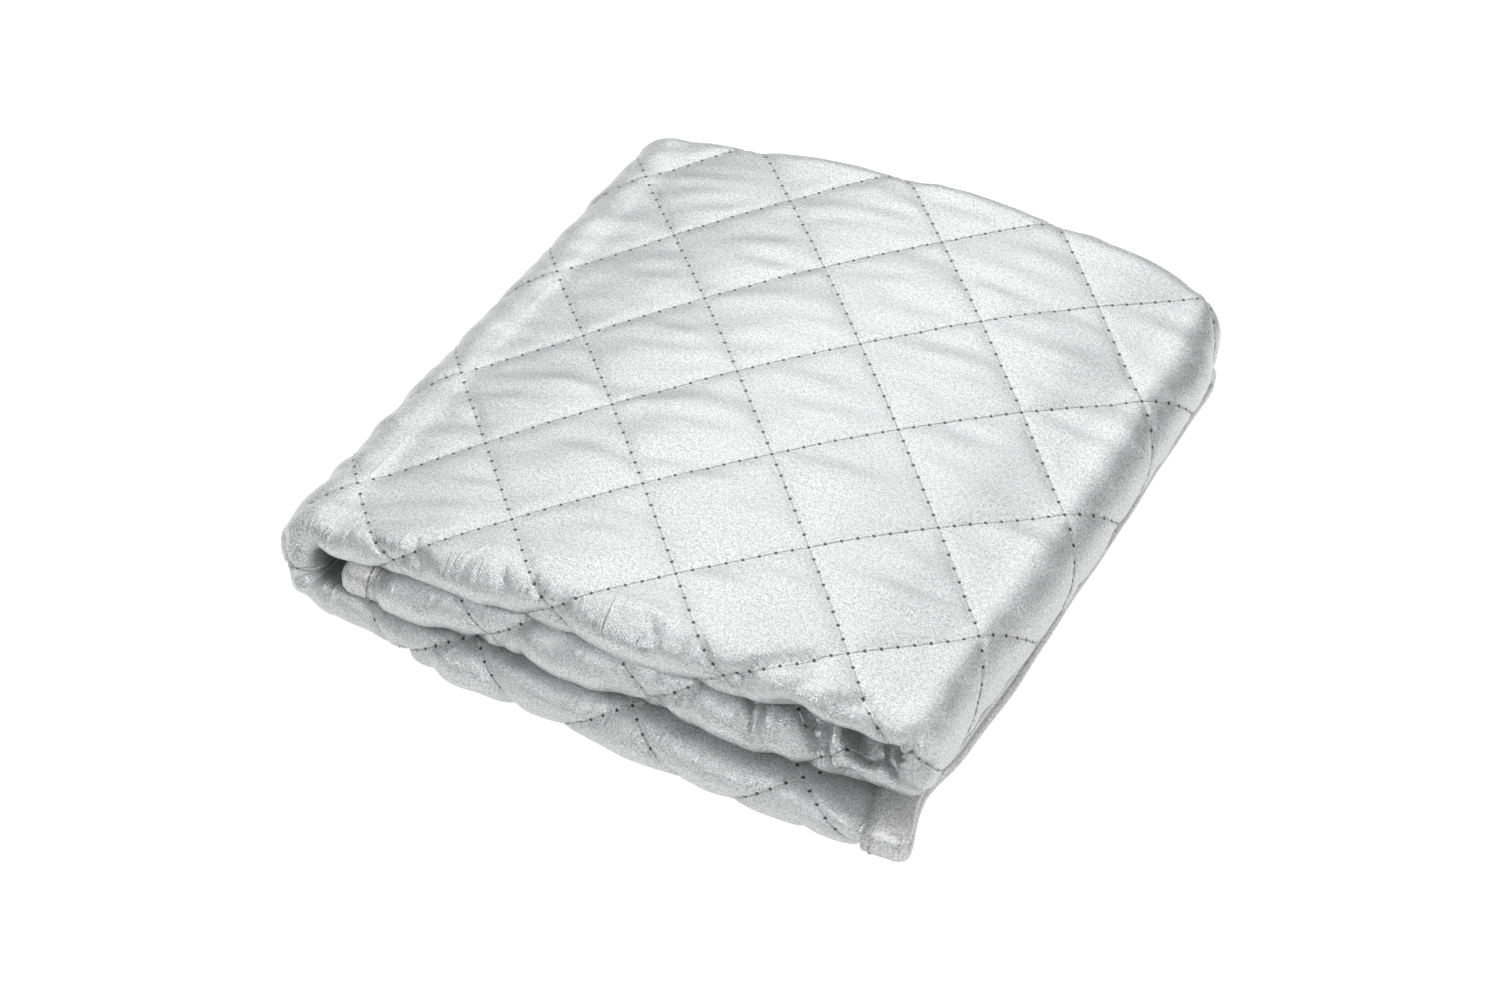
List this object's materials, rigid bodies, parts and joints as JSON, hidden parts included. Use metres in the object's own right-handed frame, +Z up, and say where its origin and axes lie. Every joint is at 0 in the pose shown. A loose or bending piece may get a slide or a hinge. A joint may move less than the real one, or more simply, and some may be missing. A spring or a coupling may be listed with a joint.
{
  "type": "folded quilted foam mat",
  "caption": "Thin quilted foam mat with silver-faced cloth and bound edges, both sides folded in to meet, then letter-folded into a flat pack; the outer fold opens on a hinge.",
  "frame": {"origin": "centre of the pack's footprint, on the plane it rests on", "axes": "+Z up through the folded plies; +Y towards the two bound long edges, -Y towards the lengthwise fold; +X towards the right bend, -X towards the outer fold that opens"},
  "size_m": [0.2302, 0.2412, 0.0551],
  "materials": {
    "silver_cloth": "satin aluminised weave",
    "foam": "soft open foam",
    "backing_cloth": "matt weave",
    "edge_tape": "satin woven tape",
    "thread": "twisted polyester thread"
  },
  "bodies": {
    "lower_panel": {"backing_cloth_fold": "backing_cloth", "backing_cloth_lower": "backing_cloth", "end_binding_lower": "edge_tape", "end_seam_lower": "thread", "face_cloth_fold": "silver_cloth", "face_cloth_lower": "silver_cloth", "foam_core_fold": "foam", "foam_core_lower": "foam", "quilting_thread_fold": "thread", "quilting_thread_lower": "thread", "side_binding_back_fold": "edge_tape", "side_binding_back_lower": "edge_tape", "side_binding_front_fold": "edge_tape", "side_binding_front_lower": "edge_tape", "side_seam_back_fold": "thread", "side_seam_back_lower": "thread", "side_seam_front_fold": "thread", "side_seam_front_lower": "thread"},
    "upper_panels": {"backing_cloth_upper": "backing_cloth", "end_binding_middle": "edge_tape", "end_seam_middle": "thread", "face_cloth_upper": "silver_cloth", "foam_core_upper": "foam", "quilting_thread_middle": "thread", "quilting_thread_upper": "thread", "side_binding_back_upper": "edge_tape", "side_binding_front_upper": "edge_tape", "side_seam_back_upper": "thread", "side_seam_front_upper": "thread"}
  },
  "joints": [
    {"name": "outer_fold", "type": "hinge", "parent": "lower_panel", "child": "upper_panels", "pos_m": [-0.094, 0, 0.02], "axis": [0, -1, 0], "range_deg": [0, 165], "deforming": ["backing_cloth_fold", "face_cloth_fold", "foam_core_fold", "quilting_thread_fold", "side_binding_back_fold", "side_binding_front_fold", "side_seam_back_fold", "side_seam_front_fold"]}
  ]
}
